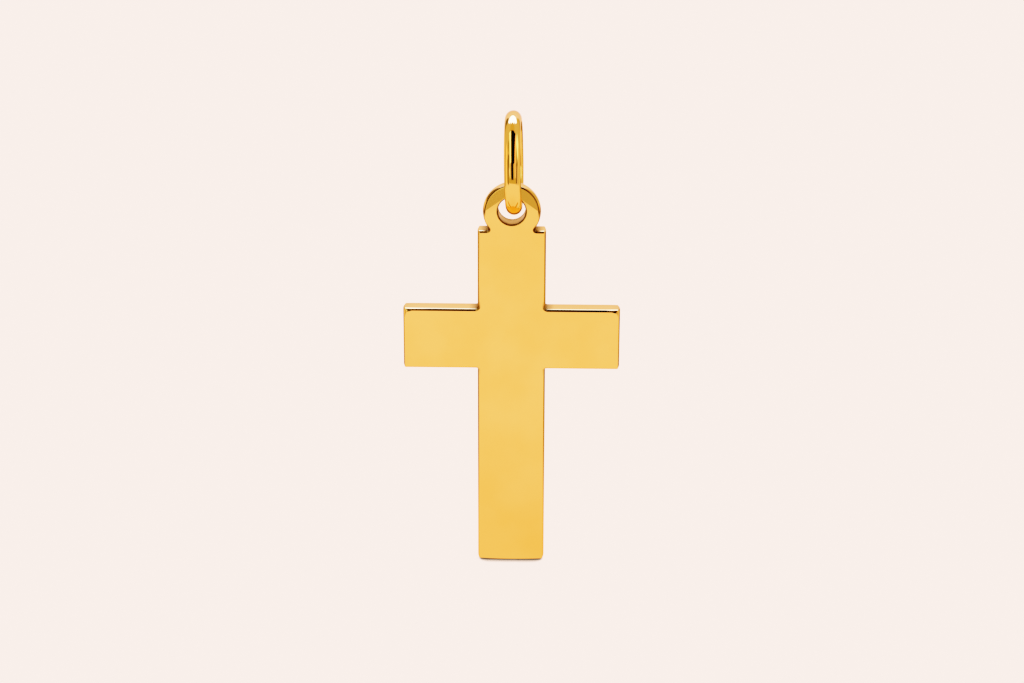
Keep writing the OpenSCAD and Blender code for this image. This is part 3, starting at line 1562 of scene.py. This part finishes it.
    def build_floor(self, surroundings: Effect, height: float) -> bpy.types.Object:
        """Makes the pale, evenly lit floor, which darkens only where something touches it.

        Args:
            surroundings: the light by direction, which the metal's reflections of the floor show.
            height: its z in metres.

        Returns:
            The floor.
        """
        mesh = bmesh.new()
        bmesh.ops.create_circle(
            mesh, cap_ends=True, segments=self.floor_sides, radius=self.floor_r * MM)
        made = place_mesh(mesh, "pale_floor")
        made.location.z = height
        material = bpy.data.materials.new("pale_floor")
        graph = fresh_graph(material)
        place = graph.add("ShaderNodeNewGeometry").outputs["Position"]
        direction = graph.vector_math("SUBTRACT", place, (0.0, 0.0, self.panel_eye_z * MM))
        light = surroundings.place(graph, Direction=direction).outputs["Light"]
        seen = graph.vector_math("MULTIPLY", self.floor_glow, self.contact_shade(graph))
        by_camera = graph.add("ShaderNodeLightPath").outputs["Is Camera Ray"]
        graph.show(graph.glow(graph.mix_colour(by_camera, light, seen)))
        made.data.materials.append(material)
        return made

    def contact_shade(self, graph: Graph) -> bpy.types.NodeSocket:
        """Makes the floor's soft shade close to what touches it, before and behind it alike.

        Args:
            graph: the floor's graph.

        Returns:
            The socket with the share of the floor's tone that is left, by colour.
        """
        open_ways = []
        for across in (1.0, -1.0):
            contact = graph.add("ShaderNodeAmbientOcclusion", samples=self.contact_samples)
            contact.inputs["Distance"].default_value = self.contact_reach * MM
            graph.feed(contact.inputs["Normal"], graph.joined(0.0, across, 1.0))
            open_ways.append(contact.outputs["AO"])
        least_open = graph.math("MINIMUM", *open_ways)
        lit = graph.smooth(least_open, self.contact_dark, self.contact_clear)
        lit = graph.mix(lit, self.contact_least, 1.0)
        return graph.joined(*(graph.math("POWER", lit, power) for power in self.contact_tone))


@dataclass(frozen=True)
class PhotoCamera:
    """The camera at the photograph's viewing angle. Angles are in degrees, lengths in mm."""

    azimuth: float = 1.127
    elevation: float = 20.0
    roll: float = 0.188
    distance: float = 131.83
    target: tuple[float, float, float] = (0.026, 0.0, -12.25)
    lens: float = 83.31
    sensor_w: float = 36.0
    nearest: float = 1.0
    farthest: float = 10000.0

    def build(self) -> bpy.types.Object:
        """Makes the camera and makes it the scene's own.

        Returns:
            The camera.
        """
        data = bpy.data.cameras.new("photo_camera")
        data.lens, data.sensor_width, data.sensor_fit = self.lens, self.sensor_w, "HORIZONTAL"
        data.clip_start, data.clip_end = self.nearest * MM, self.farthest * MM
        made = bpy.data.objects.new("photo_camera", data)
        bpy.context.scene.collection.objects.link(made)
        a, e, r = (math.radians(v) for v in (self.azimuth, self.elevation, self.roll))
        back = Vector((math.cos(e) * math.sin(a), -math.cos(e) * math.cos(a), math.sin(e)))
        right = Vector((math.cos(a), math.sin(a), 0))
        up = back.cross(right)
        turned_right = right * math.cos(r) + up * math.sin(r)
        turned_up = up * math.cos(r) - right * math.sin(r)
        place = (Vector(self.target) + back * self.distance) * MM
        axes = Matrix((turned_right, turned_up, back)).transposed()
        made.matrix_world = Matrix.Translation(place) @ axes.to_4x4()
        bpy.context.scene.camera = made
        return made


@dataclass(frozen=True)
class PhotoTone:
    """The photograph's tone: a deep toe in the darks and a soft shoulder in the brights."""

    toe: float = 0.06
    white: float = 7.0
    stops: tuple[float, ...] = (0.0, 0.03, 0.06, 0.1, 0.16, 0.25, 0.4, 0.6, 0.9, 1.3, 1.8, 2.4,
                                3.2, 4.2, 5.4, 7.0)

    def value(self, light: float) -> float:
        """Gives the picture's linear value for a light."""
        past_toe = light - self.toe * (1 - math.exp(-light / self.toe))
        return 1 - math.exp(-past_toe)

    def apply(self) -> None:
        """Sets the scene's view to this tone."""
        view = bpy.context.scene.view_settings
        view.view_transform, view.look = "Standard", "None"
        view.exposure, view.gamma = 0.0, 1.0
        view.use_curve_mapping = True
        mapping = view.curve_mapping
        mapping.black_level, mapping.white_level = (0, 0, 0), (self.white,) * 3
        all_colours = 3
        curve = mapping.curves[all_colours]
        top = self.value(self.white)
        while len(curve.points) > 2:
            curve.points.remove(curve.points[1])
        curve.points[0].location = (0, 0)
        curve.points[1].location = (1, 1)
        for stop in self.stops[1:-1]:
            curve.points.new(stop / self.white, self.value(stop) / top)
        for point in curve.points:
            point.handle_type = "AUTO_CLAMPED"
        mapping.update()


def main() -> None:
    """Builds the pendant and its studio in order."""
    logging.basicConfig(level=logging.INFO, format="%(name)s: %(message)s")
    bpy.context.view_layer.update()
    camera = PhotoCamera().build()
    LOG.info("camera %s", camera.name)
    PhotoTone().apply()
    floor_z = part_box("cross")[0].z
    studio = Studio()
    surroundings = studio.surroundings()
    studio.build_light(surroundings)
    for made in (studio.build_floor(surroundings, floor_z), LensTunnel().build(floor_z)):
        LOG.info("stage %s", made.name)

    effects = Effects()
    plate, ring = CrossPlate(), BailRing()
    slope_lines = (0.0, math.radians(plate.slope_turn), 0.0)
    made = plate.build()
    plate.dress(made, PolishedGold("polished_plate", filed_turn=slope_lines).material(effects))
    LOG.info("piece %s: %d faces", made.name, len(made.data.polygons))
    made = ring.build()
    ring.dress(made, PolishedGold("polished_wire").material(effects))
    LOG.info("piece %s: %d faces", made.name, len(made.data.polygons))


if __name__ == "__main__":
    main()
